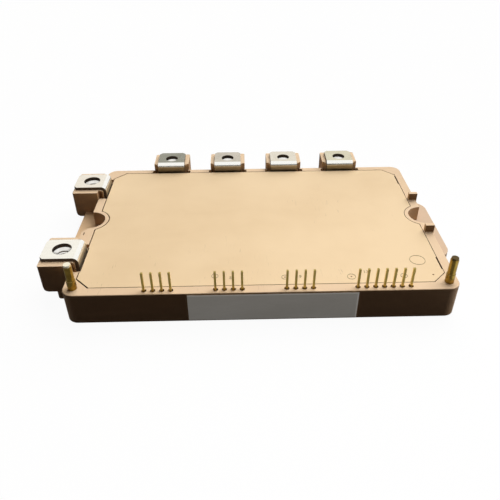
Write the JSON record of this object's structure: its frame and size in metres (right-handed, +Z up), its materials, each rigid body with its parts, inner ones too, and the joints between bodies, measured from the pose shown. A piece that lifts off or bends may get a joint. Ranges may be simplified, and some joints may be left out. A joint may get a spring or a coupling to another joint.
{
  "type": "igbt power module",
  "caption": "Flat moulded power semiconductor module with flat screw terminals on two sides, a row of upright control pins and locating pins at the front, and notched fixing ears.",
  "frame": {"origin": "midway between the two fixing holes, at the underside of the base plate", "axes": "+X along the length, +Y towards the row of four terminals, +Z up out of the lid"},
  "size_m": [0.1282, 0.0846, 0.0191],
  "materials": {
    "case": "moulded",
    "lid": "moulded",
    "nut": "plated",
    "terminal": "nickel plated",
    "control_pin": "satin",
    "guide_pin": "satin",
    "silicon": "polished",
    "copper": "satin",
    "ceramic": "matt",
    "driver": "matt",
    "base_plate": "nickel plated",
    "label": "printed film",
    "board": "coated",
    "wire": "bare"
  },
  "bodies": {
    "root": {"base_plate": "base_plate", "bond_wires": "wire", "case": "case", "ceramic_left": "ceramic", "ceramic_right": "ceramic", "control_board": "board", "control_pin_01": "control_pin", "control_pin_02": "control_pin", "control_pin_03": "control_pin", "control_pin_04": "control_pin", "control_pin_05": "control_pin", "control_pin_06": "control_pin", "control_pin_07": "control_pin", "control_pin_08": "control_pin", "control_pin_09": "control_pin", "control_pin_10": "control_pin", "control_pin_11": "control_pin", "control_pin_12": "control_pin", "control_pin_13": "control_pin", "control_pin_14": "control_pin", "control_pin_15": "control_pin", "control_pin_16": "control_pin", "control_pin_17": "control_pin", "control_pin_18": "control_pin", "control_pin_19": "control_pin", "copper_left": "copper", "copper_right": "copper", "diode_1": "silicon", "diode_2": "silicon", "diode_3": "silicon", "diode_4": "silicon", "diode_5": "silicon", "diode_6": "silicon", "driver_chip_1": "driver", "driver_chip_2": "driver", "driver_chip_3": "driver", "driver_chip_4": "driver", "guide_pin_left": "guide_pin", "guide_pin_right": "guide_pin", "igbt_1": "silicon", "igbt_2": "silicon", "igbt_3": "silicon", "igbt_4": "silicon", "igbt_5": "silicon", "igbt_6": "silicon", "lid": "lid", "side_label": "label", "terminal_1": "terminal", "terminal_2": "terminal", "terminal_3": "terminal", "terminal_4": "terminal", "terminal_5": "terminal", "terminal_6": "terminal", "terminal_nut_1": "nut", "terminal_nut_2": "nut", "terminal_nut_3": "nut", "terminal_nut_4": "nut", "terminal_nut_5": "nut", "terminal_nut_6": "nut"}
  },
  "joints": []
}
